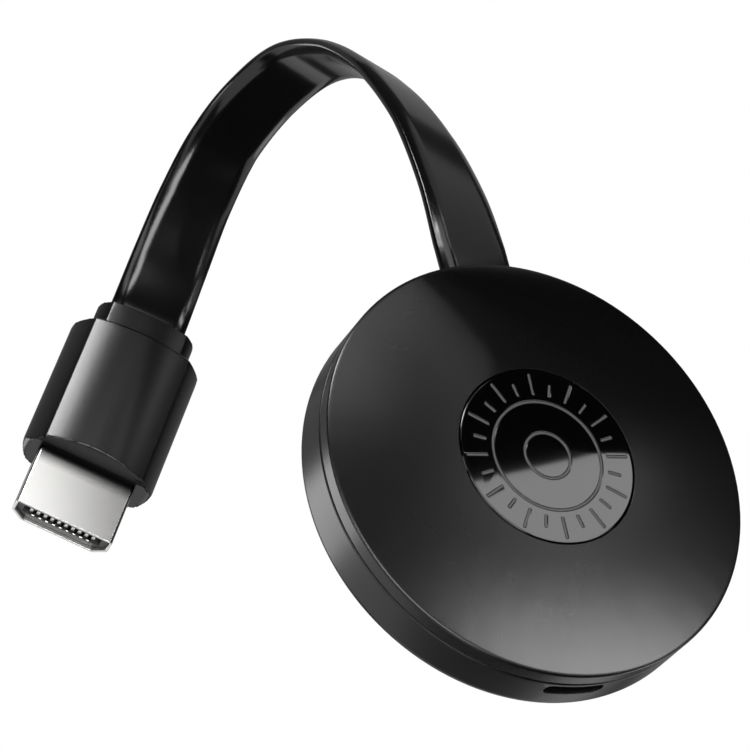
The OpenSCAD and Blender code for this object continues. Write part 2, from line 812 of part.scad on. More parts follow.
module plug_body() {
    color([0.09, 0.09, 0.1]) place_plug() difference() {
        intersection() {
            linear_extrude(plug_l) crowned_rectangle(plug_w, plug_t, plug_round, plug_crown);
            flat_on(plug_t) rounded_rectangle(plug_w, 2 * plug_l, shoulder_round);
            flat_on(plug_t) translate([0, plug_l]) rounded_rectangle(plug_w, 2 * plug_l, front_corner_r);
            rotate([0, 0, 90]) flat_on(plug_w) sloped_front();
        }
        translate([0, 0, -over]) linear_extrude(shell_in + over + fit_gap) shell_outline(-shell_fit);
        translate([0, 0, shell_in]) rounded_block(mould_w + 2 * fit_gap, mould_t + 2 * fit_gap,
            plug_l - mould_wall - shell_in + fit_gap, mould_round);
        plug_wire_row(plug_wire_r + fit_gap, plug_l);
    }
}

// Row of conductors between the contacts and the cable
module plug_wire_row(r, l) {
    pitch = cable_w / (plug_wire_count + 1);
    for (i = [0:plug_wire_count - 1])
        translate([(i - (plug_wire_count - 1) / 2) * pitch, 0, shell_in + fit_gap]) cylinder(h = l, r = r);
}

module plug_inner_mould() {
    color([0.8, 0.8, 0.76]) place_plug() difference() {
        translate([0, 0, shell_in + fit_gap])
            rounded_block(mould_w, mould_t, plug_l - mould_wall - shell_in - fit_gap, mould_round);
        plug_wire_row(plug_wire_r + fit_gap, plug_l);
        contact_row(upper_count, -1, fit_gap);
        contact_row(lower_count, 1, fit_gap);
    }
}

module plug_wires() {
    color([0.8, 0.5, 0.25]) place_plug() plug_wire_row(plug_wire_r, plug_l - shell_in - fit_gap);
}

// Outline of the shell, drawn in by inset: wide side towards -y, bevelled corners at +y
module shell_outline(inset) {
    w = shell_w - 2 * inset;
    h = shell_h - 2 * inset;
    b = shell_bevel;
    rounded_outline([
        [-w / 2, -h / 2], [w / 2, -h / 2], [w / 2, h / 2 - b],
        [w / 2 - b, h / 2], [-w / 2 + b, h / 2], [-w / 2, h / 2 - b]
    ], max(shell_corner_r - inset, shell_corner_r / 4));
}

module plug_shell() {
    color([0.85, 0.85, 0.87]) place_plug() difference() {
        translate([0, 0, -shell_out]) linear_extrude(shell_out + shell_in) shell_outline(0);
        translate([0, 0, -shell_out - over]) linear_extrude(shell_out + shell_in + 2 * over)
            shell_outline(shell_t);
    }
}

function insulator_front() = -shell_out + insulator_back;

// Row of contacts against one side of the insulator's slot, each grown by extra
module contact_row(count, side, extra) {
    w = contact_w + 2 * extra;
    t = contact_t + extra;
    l = insulator_l - contact_tip + contact_root + 2 * extra;
    low = side * (slot_h + t) / 2 - t / 2;
    start = insulator_front() + contact_tip - extra;
    for (i = [0:count - 1])
        translate([(i - (count - 1) / 2) * contact_pitch - w / 2, low, start])
            cube([w, t, l]);
}

module plug_insulator() {
    color([0.04, 0.04, 0.04]) place_plug() difference() {
        translate([0, 0, insulator_front()]) linear_extrude(insulator_l)
            shell_outline(shell_t + shell_fit);
        translate([-slot_w / 2, -slot_h / 2, insulator_front() - over])
            cube([slot_w, slot_h, slot_l + over]);
        contact_row(upper_count, -1, fit_gap);
        contact_row(lower_count, 1, fit_gap);
    }
}

module contacts_upper() {
    color([0.85, 0.85, 0.87]) place_plug() contact_row(upper_count, -1, 0);
}

module contacts_lower() {
    color([0.85, 0.85, 0.87]) place_plug() contact_row(lower_count, 1, 0);
}

rear_cover();
front_cover();
face_inlay();
inlay_tape();
circuit_board();
board_screws();
processor();
thermal_pad();
heat_spreader();
memory_chips();
storage_chip();
wireless_module();
antenna();
power_parts();
small_parts();
usb_socket_shell();
usb_socket_tongue();
usb_contacts();
tact_switch();
switch_plunger();
reset_button();
cable_anchor();
cable_wires();
flat_cable();
plug_collar();
plug_body();
plug_inner_mould();
plug_wires();
plug_shell();
plug_insulator();
contacts_upper();
contacts_lower();
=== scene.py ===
# %% [markdown]
# # Media dongle
# A round media dongle: a satin black disc, a flat glossy cable that bends back
# on itself, and a moulded video plug with its nickel shell.
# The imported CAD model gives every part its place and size, in metres. This
# lesson dresses it: it builds finer pieces where the CAD mesh is too plain, and
# gives every part a finish.

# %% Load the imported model
import math

import bmesh
import bpy
from mathutils import Matrix, Vector


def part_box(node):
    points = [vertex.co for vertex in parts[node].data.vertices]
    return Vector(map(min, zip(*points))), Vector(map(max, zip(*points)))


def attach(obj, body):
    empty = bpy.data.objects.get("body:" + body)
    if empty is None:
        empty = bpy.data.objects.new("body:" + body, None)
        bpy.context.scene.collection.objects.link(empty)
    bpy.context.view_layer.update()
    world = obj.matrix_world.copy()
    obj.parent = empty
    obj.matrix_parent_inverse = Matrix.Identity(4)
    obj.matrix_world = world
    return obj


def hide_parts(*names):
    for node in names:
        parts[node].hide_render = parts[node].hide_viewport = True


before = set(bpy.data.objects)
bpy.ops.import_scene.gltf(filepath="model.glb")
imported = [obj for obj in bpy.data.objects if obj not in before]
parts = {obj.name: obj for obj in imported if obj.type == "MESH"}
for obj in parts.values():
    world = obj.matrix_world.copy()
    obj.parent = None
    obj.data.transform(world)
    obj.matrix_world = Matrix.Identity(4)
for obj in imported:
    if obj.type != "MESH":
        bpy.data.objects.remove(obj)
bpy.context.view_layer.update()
print("parts:", len(parts))

# %% [markdown]
# ## Millimetres
# The sizes of such a small thing read best in millimetres, while Blender and
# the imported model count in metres. The scene's unit could be changed, but then
# the model would have to be scaled too. One factor and one short function leave
# the model alone and keep the numbers plain.

# %% Millimetres
MM = 0.001


def mm(x, y, z):
    return Vector((x, y, z)) * MM


print("one millimetre in metres:", MM)

# %% [markdown]
# ## Camera
# The camera comes first, because the cable and the light are set by what it
# sees. The picture was taken with a long lens from the left and from below, so
# the disc's face is foreshortened and its rim shows underneath. The camera could
# be aimed with a constraint. Here a matrix holds its three directions, right, up
# and back, because that also fixes the small roll that the picture has.

# %% Camera
PICTURE_PIXELS = 750
SENSOR_WIDTH = 36.0
FOCAL_PIXELS = 3215.6
CAMERA_PLACE = (-158.0, -361.2, -180.8)
CAMERA_BACK = Vector((-0.4462, -0.7857, -0.4284)).normalized()
CAMERA_UP = Vector((-0.0242, -0.4680, 0.8834))
camera_data = bpy.data.cameras.new("long_lens")
camera_data.sensor_width = SENSOR_WIDTH
camera_data.lens = FOCAL_PIXELS / PICTURE_PIXELS * SENSOR_WIDTH
camera = bpy.data.objects.new("camera", camera_data)
bpy.context.scene.collection.objects.link(camera)
bpy.context.scene.camera = camera
camera_right = CAMERA_UP.cross(CAMERA_BACK).normalized()
camera_up = CAMERA_BACK.cross(camera_right)
for row in range(3):
    camera.matrix_world[row][0] = camera_right[row]
    camera.matrix_world[row][1] = camera_up[row]
    camera.matrix_world[row][2] = CAMERA_BACK[row]
camera.location = mm(*CAMERA_PLACE)
print("lens:", round(camera_data.lens, 1), "mm")

# %% [markdown]
# ## Mesh helpers
# Cable, plug, contacts and dial are all rows of closed rings with faces between
# them. Curves with a bevel could make some of these, but not a section that
# changes on the way. So two small tools make the meshes: one turns points and
# faces into an object that shades smoothly up to its sharp edges, and one lists
# the faces of a tube with closed ends. A third gives a piece its material and its
# body, and hides the CAD parts that it stands for.

# %% Mesh helpers
SMOOTH_ANGLE = math.radians(32)


def mesh_piece(name, points, faces):
    mesh = bpy.data.meshes.new(name)
    mesh.from_pydata([tuple(p) for p in points], [], faces)
    mesh.validate()
    mesh.shade_smooth()
    mesh.set_sharp_from_angle(angle=SMOOTH_ANGLE)
    piece = bpy.data.objects.new(name, mesh)
    bpy.context.scene.collection.objects.link(piece)
    return piece


def tube_faces(stations, sides):
    faces = [tuple(reversed(range(sides)))]
    for k in range(stations - 1):
        for j in range(sides):
            a, b = k * sides + j, k * sides + (j + 1) % sides
            faces.append((a, b, b + sides, a + sides))
    faces.append(tuple((stations - 1) * sides + j for j in range(sides)))
    return faces


def dress(piece, body, material, replaced=()):
    piece.data.materials.append(material)
    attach(piece, body)
    if replaced:
        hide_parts(*replaced)
    return piece


print("smooth up to (degrees):", round(math.degrees(SMOOTH_ANGLE)))

# %% [markdown]
# ## Soft edges
# No moulded or stamped edge is truly sharp. On black goods that small rounding
# is what shows: it mirrors the bright room as a thin light line. A bevel node in
# the material could fake it, but the mesh itself should have it. The CAD solids
# have the right forms, so a copy of each mesh is welded, its flat parts are
# merged, and only its sharp edges are rounded. A last step keeps the broad faces
# flat in shading, so that the rounding alone catches the light.

# %% Rounding helpers
SHARP_ANGLE = math.radians(24)
FLAT_ANGLE = math.radians(0.5)
WELD_DISTANCE = 1e-6
EDGE_SEGMENTS = 3


def rounded(name, mesh, width):
    sharp = [e for e in mesh.edges if len(e.link_faces) == 2 and e.calc_face_angle() > SHARP_ANGLE]
    bmesh.ops.bevel(
        mesh, geom=sharp, offset=width * MM, offset_type="OFFSET", segments=EDGE_SEGMENTS, profile=0.5,
        affect="EDGES", clamp_overlap=False, miter_outer="ARC",
    )
    mesh.verts.index_update()
    points = [v.co.copy() for v in mesh.verts]
    faces = [[v.index for v in f.verts] for f in mesh.faces]
    mesh.free()
    piece = mesh_piece(name, points, faces)
    even = piece.modifiers.new("flat_faces", "WEIGHTED_NORMAL")
    even.keep_sharp = True
    print(name, "rounded edges:", len(sharp), "faces:", len(faces))
    return piece


def softened(name, body, material, width):
    mesh = bmesh.new()
    mesh.from_mesh(parts[name].data)
    bmesh.ops.remove_doubles(mesh, verts=mesh.verts, dist=WELD_DISTANCE)
    bmesh.ops.dissolve_limit(
        mesh, angle_limit=FLAT_ANGLE, verts=mesh.verts, edges=mesh.edges, use_dissolve_boundaries=False,
    )
    return dress(rounded(name + "_soft", mesh, width), body, material, [name])


def built(name, points, faces, width):
    mesh = bmesh.new()
    corners = [mesh.verts.new(p) for p in points]
    for face in faces:
        mesh.faces.new([corners[i] for i in face])
    bmesh.ops.recalc_face_normals(mesh, faces=mesh.faces)
    return rounded(name, mesh, width)


print("edges count as sharp from (degrees):", round(math.degrees(SHARP_ANGLE)))

# %% [markdown]
# ## Shared effect of the plastics
# Moulded plastic is never one flat value: the tool leaves a fine grain, and
# handling leaves faint smudges that change how sharp a reflection is. Each
# material could have its own noise nodes. A node group builds the effect once,
# and every plastic uses it at its own strength.

# %% Node group helpers
def new_group(name, inputs, outputs):
    group = bpy.data.node_groups.new(name, "ShaderNodeTree")
    for label, value in inputs:
        socket = group.interface.new_socket(label, in_out="INPUT", socket_type="NodeSocketFloat")
        socket.default_value = value
    for label in outputs:
        group.interface.new_socket(label, in_out="OUTPUT", socket_type="NodeSocketFloat")
    return group, group.nodes.new("NodeGroupInput"), group.nodes.new("NodeGroupOutput")


def join(tree, start, end):
    tree.links.new(start, end)


print("groups before the first one:", len(bpy.data.node_groups))

# %% [markdown]
# The grain is a fine noise that goes out as a height. The smudges are a wide
# noise that moves the roughness up and down round its own value.

# %% Mould grain and smudges
grain, grain_in, grain_out = new_group(
    "mould_grain",
    [("Grain Scale", 3000.0), ("Smudge Scale", 40.0), ("Roughness", 0.4), ("Variation", 0.05)],
    ["Height", "Roughness"],
)
place = grain.nodes.new("ShaderNodeTexCoord")
fine = grain.nodes.new("ShaderNodeTexNoise")
fine.inputs["Detail"].default_value = 3.0
smudge = grain.nodes.new("ShaderNodeTexNoise")
smudge.inputs["Detail"].default_value = 5.0
smudge.inputs["Distortion"].default_value = 0.6
spread = grain.nodes.new("ShaderNodeMath")
spread.operation = "MULTIPLY_ADD"
centred = grain.nodes.new("ShaderNodeMath")
centred.operation = "SUBTRACT"
centred.inputs[1].default_value = 0.5
join(grain, place.outputs["Object"], fine.inputs["Vector"])
join(grain, place.outputs["Object"], smudge.inputs["Vector"])
join(grain, grain_in.outputs["Grain Scale"], fine.inputs["Scale"])
join(grain, grain_in.outputs["Smudge Scale"], smudge.inputs["Scale"])
join(grain, smudge.outputs["Fac"], centred.inputs[0])
join(grain, centred.outputs[0], spread.inputs[0])
join(grain, grain_in.outputs["Variation"], spread.inputs[1])
join(grain, grain_in.outputs["Roughness"], spread.inputs[2])
join(grain, fine.outputs["Fac"], grain_out.inputs["Height"])
join(grain, spread.outputs[0], grain_out.inputs["Roughness"])
print("group:", grain.name, "nodes:", len(grain.nodes))

# %% [markdown]
# ## Plastics
# The satin black of the disc, the gloss of its inlay and the cable's jacket
# differ mostly in roughness and grain. They could be separate node trees, but
# one function that takes those numbers keeps them comparable. Two colours close
# to each other, mixed by the grain, keep the black from being one flat value.

# %% Plastic maker
def grey(value):
    return (value, value, value)


def plastic(name, colour, second, roughness, variation=0.05, grain_scale=3000.0, depth=0.004):
    material = bpy.data.materials.new(name)
    material.use_nodes = True
    tree = material.node_tree
    shader = tree.nodes["Principled BSDF"]
    effect = tree.nodes.new("ShaderNodeGroup")
    effect.node_tree = grain
    effect.inputs["Grain Scale"].default_value = grain_scale
    effect.inputs["Roughness"].default_value = roughness
    effect.inputs["Variation"].default_value = variation
    tint = tree.nodes.new("ShaderNodeMix")
    tint.data_type = "RGBA"
    tint.inputs["A"].default_value = (*colour, 1)
    tint.inputs["B"].default_value = (*second, 1)
    bump = tree.nodes.new("ShaderNodeBump")
    bump.inputs["Strength"].default_value = 1.0
    bump.inputs["Distance"].default_value = depth * MM
    join(tree, effect.outputs["Height"], tint.inputs["Factor"])
    join(tree, tint.outputs["Result"], shader.inputs["Base Color"])
    join(tree, effect.outputs["Roughness"], shader.inputs["Roughness"])
    join(tree, effect.outputs["Height"], bump.inputs["Height"])
    join(tree, bump.outputs["Normal"], shader.inputs["Normal"])
    return material


print("plastics use the group:", grain.name)

# %% [markdown]
# The covers are satin, the inlay is close to a mirror, and the jacket lies
# between the two. The jacket also has a thin sheen, the soft grey that smooth
# rubber shows at a low angle. The mould's grain is less than a hundredth of a
# millimetre deep.

# %% Plastics of the object
satin_black = plastic("satin_black", grey(0.001), grey(0.002), 0.27, depth=0.005)
rim_black = plastic("rim_black", grey(0.002), grey(0.003), 0.28, depth=0.004)
gloss_black = plastic("gloss_black", grey(0.0005), grey(0.001), 0.03, 0.02, depth=0.0)
line_grey = plastic("line_grey", grey(0.035), grey(0.055), 0.4, depth=0.002)
jacket_black = plastic("jacket_black", grey(0.001), grey(0.002), 0.17, 0.05, 900.0, 0.008)
jacket_shader = jacket_black.node_tree.nodes["Principled BSDF"]
jacket_shader.inputs["Sheen Weight"].default_value = 0.06
jacket_shader.inputs["Sheen Roughness"].default_value = 0.4
plug_grey = plastic("plug_grey", grey(0.001), grey(0.003), 0.28, depth=0.005)
inner_black = plastic("inner_black", grey(0.004), grey(0.008), 0.45)
mouth_grey = plastic("mouth_grey", grey(0.05), grey(0.08), 0.4)
board_green = plastic("board_green", (0.010, 0.060, 0.025), (0.016, 0.085, 0.035), 0.35, 0.1, 700.0)
chip_black = plastic("chip_black", (0.015, 0.015, 0.016), grey(0.03), 0.55, 0.08)
cream_mould = plastic("cream_mould", (0.62, 0.61, 0.57), (0.7, 0.69, 0.66), 0.5)
print("plastics:", len(bpy.data.materials))

# %% [markdown]
# ## Metals
# Stamped metal carries faint streaks from rolling. The shader's anisotropy could
# hint at them, but it gives no streaks of their own. A noise stretched along one
# direction changes the roughness and the colour a little, and that does.

# %% Metals
def metal(name, colour, second, roughness, variation=0.08, stretch=(200.0, 200.0, 2500.0)):
    material = bpy.data.materials.new(name)
    material.use_nodes = True
    tree = material.node_tree
    shader = tree.nodes["Principled BSDF"]
    shader.inputs["Metallic"].default_value = 1.0
    place = tree.nodes.new("ShaderNodeTexCoord")
    long_way = tree.nodes.new("ShaderNodeMapping")
    long_way.inputs["Scale"].default_value = stretch
    streaks = tree.nodes.new("ShaderNodeTexNoise")
    streaks.inputs["Scale"].default_value = 1.0
    streaks.inputs["Detail"].default_value = 4.0
    tint = tree.nodes.new("ShaderNodeMix")
    tint.name = "tint"
    tint.data_type = "RGBA"
    tint.inputs["A"].default_value = (*colour, 1)
    tint.inputs["B"].default_value = (*second, 1)
    dull = tree.nodes.new("ShaderNodeMapRange")
    dull.inputs["To Min"].default_value = roughness - variation / 2
    dull.inputs["To Max"].default_value = roughness + variation / 2
    join(tree, place.outputs["Object"], long_way.inputs["Vector"])
    join(tree, long_way.outputs["Vector"], streaks.inputs["Vector"])
    join(tree, streaks.outputs["Fac"], tint.inputs["Factor"])
    join(tree, streaks.outputs["Fac"], dull.inputs["Value"])
    join(tree, tint.outputs["Result"], shader.inputs["Base Color"])
    join(tree, dull.outputs["Result"], shader.inputs["Roughness"])
    return material


nickel = metal("nickel", (0.74, 0.735, 0.72), (0.77, 0.765, 0.75), 0.2, 0.02, (60.0, 60.0, 900.0))
gold = metal("gold", (0.85, 0.62, 0.27), (0.93, 0.70, 0.33), 0.22)
bright_metal = metal("bright_metal", (0.66, 0.67, 0.68), (0.74, 0.75, 0.76), 0.3)
screw_steel = metal("screw_steel", (0.5, 0.5, 0.51), (0.6, 0.6, 0.61), 0.32)
copper = metal("copper", (0.78, 0.40, 0.24), (0.86, 0.47, 0.30), 0.3)
print("materials:", len(bpy.data.materials))

# %% [markdown]
# ## Flat cable
# The cable is a flat strip that leaves the disc's rim, rises, bends over and
# comes down into the plug. A flat strip bends easily only one way, so its width
# stays nearly level while the middle line curves. The route repeats the CAD
# model's points in millimetres, and its ends take the directions of the rim and
# of the plug, which leans and turns a little against the disc.

# %% Route of the cable
PLUG_LEAN = math.radians(29)
PLUG_TURN = math.radians(-3.5)
PLUG_LENGTH = 25.6
ROUTE = [
    (0, 0, -3.5), (0, 0.3, 5), (0.8, 2.6, 15), (1.2, 6.8, 26.6), (0.8, 12.8, 37.6), (-0.2, 20, 45.6),
    (-2.4, 27.6, 49.6), (-5.4, 35.4, 49.2), (-9, 42.2, 45.6), (-12.6, 47.6, 39.2), (-16.2, 52, 31.4),
    (-20.2, 55.4, 22.9),
]
TWISTS = [math.radians(t) for t in (0, 0, -8, -16, -19, -14, -5, 6, 14, 12, 5, 0)]


def turned(x, y, z):
    c, s = math.cos(PLUG_LEAN), math.sin(PLUG_LEAN)
    across, along = c * x + s * z, c * z - s * x
    c, s = math.cos(PLUG_TURN), math.sin(PLUG_TURN)
    return Vector((c * across - s * y, s * across + c * y, along))


plug_x, plug_y, plug_z = turned(1, 0, 0), turned(0, 1, 0), turned(0, 0, 1)
route = [mm(*p) for p in ROUTE]
rim_point = plug_z * PLUG_LENGTH * MM - route[-1]
print("rim point (mm):", [round(v / MM, 2) for v in rim_point])

# %% [markdown]
# A Blender curve could join the points, but the faces of the strip also need the
# direction at each step. A cubic between each two points gives both. At a point
# its direction is that from the point before to the point after.

# %% Smooth curve through the route
STEPS = 12


def route_tangent(i):
    if i == 0:
        return Vector((0, 0, (route[1] - route[0]).length))
    if i == len(route) - 1:
        return -plug_z * (route[i] - route[i - 1]).length
    return (route[i + 1] - route[i - 1]) / 2


def route_point(i, t):
    a, b = route[i], route[i + 1]
    ta, tb = route_tangent(i), route_tangent(i + 1)
    return ((2 * t**3 - 3 * t**2 + 1) * a + (t**3 - 2 * t**2 + t) * ta
            + (3 * t**2 - 2 * t**3) * b + (t**3 - t**2) * tb)


def route_direction(i, t):
    a, b = route[i], route[i + 1]
    ta, tb = route_tangent(i), route_tangent(i + 1)
    return ((6 * t**2 - 6 * t) * (a - b) + (3 * t**2 - 4 * t + 1) * ta
            + (3 * t**2 - 2 * t) * tb).normalized()


spans = len(route) - 1
print("steps along the cable:", spans * STEPS)

# %% [markdown]
# The jacket isn't a plain flat oval. Its sides slope away from the broad faces
# to a small round tip, and the soft turn between the two draws a bright line
# along the whole cable. A rounded rectangle would put that line on the very
# edge. So one side is built from three parts: the tip, a straight slope, and a
# wide arc that runs into the flat.

# %% Section of the cable
WIDTH_AT_DISC, WIDTH_AT_PLUG, CABLE_THICK = 9.9 * MM, 11.2 * MM, 2.15 * MM
TIP_RADIUS, TURN_RADIUS = 0.6 * MM, 3.2 * MM
SIDE_TILT = math.radians(30)
TIP_STEPS, TURN_STEPS = 4, 8


def upper_side(width):
    points = []
    for e in range(TIP_STEPS + 1):
        a = (math.pi / 2 - SIDE_TILT) * e / TIP_STEPS
        points.append((width / 2 - TIP_RADIUS * (1 - math.cos(a)), TIP_RADIUS * math.sin(a)))
    tip_x, tip_y = points[-1]
    turn_y = CABLE_THICK / 2 - TURN_RADIUS * (1 - math.cos(SIDE_TILT))
    turn_x = tip_x - (turn_y - tip_y) / math.tan(SIDE_TILT)
    for e in range(TURN_STEPS + 1):
        a = SIDE_TILT * (1 - e / TURN_STEPS)
        x = turn_x - TURN_RADIUS * (math.sin(SIDE_TILT) - math.sin(a))
        points.append((x, CABLE_THICK / 2 - TURN_RADIUS * (1 - math.cos(a))))
    return points


def section(width):
    upper = upper_side(width)
    side = [(u, -v) for u, v in reversed(upper[1:])] + upper
    return side + [(-u, -v) for u, v in side]


print("points round the section:", len(section(WIDTH_AT_DISC)))

# %% [markdown]
# The section is carried along the route. It starts in line with the disc and
# ends in line with the plug. The small twist on the way follows the picture, and
# a strip whose two ends don't lie in one plane takes such a twist by itself.

# %% Cable piece
path, rings = [], []
for k in range(spans * STEPS + 1):
    i = min(k // STEPS, spans - 1)
    t = k / STEPS - i
    middle = rim_point + route_point(i, t)
    along = route_direction(i, t)
    share = k / (spans * STEPS)
    lean = Vector((1, 0, 0)).lerp(plug_x, share)
    level = (lean - lean.dot(along) * along).normalized()
    upright = level.cross(along)
    twist = TWISTS[i] + (TWISTS[i + 1] - TWISTS[i]) * t
    across = math.cos(twist) * level + math.sin(twist) * upright
    out = math.cos(twist) * upright - math.sin(twist) * level
    width = WIDTH_AT_DISC + (WIDTH_AT_PLUG - WIDTH_AT_DISC) * share
    path.append(middle)
    rings.append([middle + u * across + v * out for u, v in section(width)])
cable_points = [p for ring in rings for p in ring]
cable = mesh_piece("cable", cable_points, tube_faces(len(rings), len(rings[0])))
dress(cable, "dongle", jacket_black, ["flat_cable"])

# %% [markdown]
# ## Covers, inlay and button
# The disc is two snapped covers with a fine groove between them, a glossy inlay
# in the face and a small button in the rim. Their CAD solids have the right
# forms, so building them again would add nothing. They get softened copies: the
# rims of the covers are crisp, and the inlay and the button are a little rounder.

# %% Covers, inlay and button
COVER_EDGE, INLAY_EDGE, BUTTON_EDGE = 0.06, 0.1, 0.1
softened("front_cover", "dongle", satin_black, COVER_EDGE)
softened("rear_cover", "dongle", rim_black, COVER_EDGE)
softened("face_inlay", "dongle", gloss_black, INLAY_EDGE)
softened("reset_button", "button", rim_black, BUTTON_EDGE)

# %% [markdown]
# ## Plug body
# The overmould is a crowned slab: a gently curved broad face on either side, and
# narrow sides that fall away at a crease. Its front slopes back to the shell, so
# a lens-shaped face shows over the metal, and its shoulders are round. It could
# be a box with bevels and bent faces. A loft is simpler to steer: one outline,
# squeezed a little differently at each height. In the two tables, half and deep
# are half of the width and of the depth, and fall is how much lower the crown
# would be at the full width. The broad face ends at the crease, low and high are
# the two ends along the plug, shoulder and corner are the radii there, and aside
# moves the form sideways.

# %% Sizes and outline of the plug body and its collar
BODY = {
    "half": 9.45, "deep": 5.3, "fall": 2.2, "crease": 7.1, "low": 0.0, "high": 21.2,
    "shoulder": 1.1, "corner": 1.4, "aside": 0.2,
}
COLLAR = {
    "half": 7.2, "deep": 3.0, "fall": 1.1, "crease": 5.6, "low": 21.2, "high": 25.6,
    "shoulder": 0.5, "corner": 0, "aside": 0.2,
}
SIDE_POWER = 1.6
CROWN_STEPS, SIDE_STEPS = 12, 10


def crown_depth(form, x):
    return form["deep"] - form["fall"] * (x / form["half"]) ** 2


def outline(form):
    crease, half = form["crease"], form["half"]
    crown, side = [], []
    for k in range(2 * CROWN_STEPS + 1):
        x = crease * (k / CROWN_STEPS - 1)
        crown.append((x, -crown_depth(form, x)))
    for k in range(1, 2 * SIDE_STEPS):
        share = k / SIDE_STEPS - 1
        side.append((half - (half - crease) * abs(share) ** SIDE_POWER, crown_depth(form, crease) * share))
    return crown + side + [(-x, -y) for x, y in crown + side]


print("points round the plug:", len(outline(BODY)))

# %% [markdown]
# At each height the outline is cut to the width and depth that the round
# shoulders, the round front corners and the sloped front leave there. A height
# can also be drawn in as a whole, for a chamfer or a groove.

# %% Loft along the plug
SHOULDER_STEPS = 8


def widest(form, z):
    up, low = z - (form["high"] - form["shoulder"]), form["low"] + form["corner"] - z
    if up > 0:
        return form["half"] - form["shoulder"] + math.sqrt(max(form["shoulder"] ** 2 - up**2, 0))
    if low > 0:
        return form["half"] - form["corner"] + math.sqrt(max(form["corner"] ** 2 - low**2, 0))
    return form["half"]


def shoulder_heights(form):
    quarter = [math.pi / 2 * k / SHOULDER_STEPS for k in range(SHOULDER_STEPS + 1)]
    return [form["high"] - form["shoulder"] * (1 - math.sin(a)) for a in quarter]


def in_plug(x, y, z):
    return (x * plug_x + y * plug_y + z * plug_z) * MM


def loft(form, heights, deepest, inset):
    points = []
    for z in heights:
        wide, deep, back = widest(form, z), deepest(z), inset(z)
        x_share, y_share = 1 - back / form["half"], 1 - back / form["deep"]
        for x, y in outline(form):
            x_cut, y_cut = max(-wide, min(wide, x)), max(-deep, min(deep, y))
            points.append(in_plug(form["aside"] + x_share * x_cut, y_share * y_cut, z))
    return points, tube_faces(len(heights), len(outline(form)))


print("shoulder heights (mm):", [round(z, 2) for z in shoulder_heights(BODY)])

# %% [markdown]
# The front is convex, so its heights lie closer together there. A narrow chamfer
# closes the other end under the collar.

# %% Plug body
FRONT_SLOPE, SLOPE_WIDE, SLOPE_POWER = 1.3, 2.4, 2.5
TOP_CHAMFER = 0.45
PLUG_EDGE = 0.14
FRONT_HEIGHTS = [0, 0.04, 0.1, 0.2, 0.3, 0.42, 0.56, 0.72, 0.9, 1.1, 1.3, 1.5]
MIDDLE_HEIGHTS = [4, 8, 12, 16]


def front_depth(z):
    return BODY["deep"] - SLOPE_WIDE * max(1 - z / FRONT_SLOPE, 0) ** SLOPE_POWER


def top_inset(z):
    return max(z - (BODY["high"] - TOP_CHAMFER), 0)


top_heights = sorted(shoulder_heights(BODY) + [BODY["high"] - TOP_CHAMFER])
body_heights = FRONT_HEIGHTS + MIDDLE_HEIGHTS + top_heights
body_points, body_faces = loft(BODY, body_heights, front_depth, top_inset)
plug_body = built("plug_body_mould", body_points, body_faces, PLUG_EDGE)
dress(plug_body, "dongle", plug_grey, ["plug_body"])

# %% [markdown]
# ## Plug collar
# The collar grips the cable. It is the same form in small, and it starts with a
# narrow groove, which parts it from the body with a dark line. A painted line
# would be simpler, but it would stay dark in any light, and a groove doesn't.

# %% Plug collar
GROOVE_HIGH, GROOVE_DEEP, GROOVE_STEP = 0.4, 0.45, 0.02
COLLAR_MIDDLE_HEIGHTS = [22.5, 23.5]
COLLAR_EDGE = 0.12
groove_top = COLLAR["low"] + GROOVE_HIGH


def collar_inset(z):
    return GROOVE_DEEP if z <= groove_top else 0


collar_start = [COLLAR["low"], groove_top, groove_top + GROOVE_STEP]
collar_heights = collar_start + COLLAR_MIDDLE_HEIGHTS + shoulder_heights(COLLAR)
collar_points, collar_faces = loft(COLLAR, collar_heights, lambda z: COLLAR["deep"], collar_inset)
plug_collar = built("plug_collar_mould", collar_points, collar_faces, COLLAR_EDGE)
dress(plug_collar, "dongle", plug_grey, ["plug_collar"])

# %% [markdown]
# ## Contacts
# Nineteen sprung strips line the slot in the plug's mouth. Their ends curl into
# it, so that they ride over the tongue of a socket, and those curls are what
# glints between the lips of the shell. Straight bars would do from afar, but not
# close by. Each strip is a short tube of four sides along a bent line, and the
# tables hold that line as depth and height in millimetres.

# %% Contact maker
CONTACT_WIDE, CONTACT_THIN, CONTACT_PITCH = 0.46, 0.2, 1.0
CONTACT_EDGE = 0.04
CURL_START = [(0.96, 7.6), (0.96, -7.9), (0.9, -8.3)]
CURL_NEAR = CURL_START + [(0.72, -8.62), (0.48, -8.84), (0.26, -8.86), (0.12, -8.7)]
CURL_FAR = CURL_START + [(0.74, -8.6), (0.66, -8.85), (0.7, -8.95)]


def contact_row(name, count, side, curl, node):
    points, faces = [], []
    for i in range(count):
        x = (i - (count - 1) / 2) * CONTACT_PITCH
        start = len(points)
        for k, (y, z) in enumerate(curl):
            before, after = curl[max(k - 1, 0)], curl[min(k + 1, len(curl) - 1)]
            dy, dz = after[0] - before[0], after[1] - before[1]
            size = math.hypot(dy, dz)
            ny, nz = -dz / size * CONTACT_THIN / 2, dy / size * CONTACT_THIN / 2
            for wide, thin in ((-1, -1), (1, -1), (1, 1), (-1, 1)):
                points.append(in_plug(x + wide * CONTACT_WIDE / 2, side * (y + thin * ny), z + thin * nz))
        faces += [tuple(start + j for j in face) for face in tube_faces(len(curl), 4)]
    return dress(built(name, points, faces, CONTACT_EDGE), "dongle", nickel, [node])


print("points along a contact:", len(CURL_NEAR), "near,", len(CURL_FAR), "far")
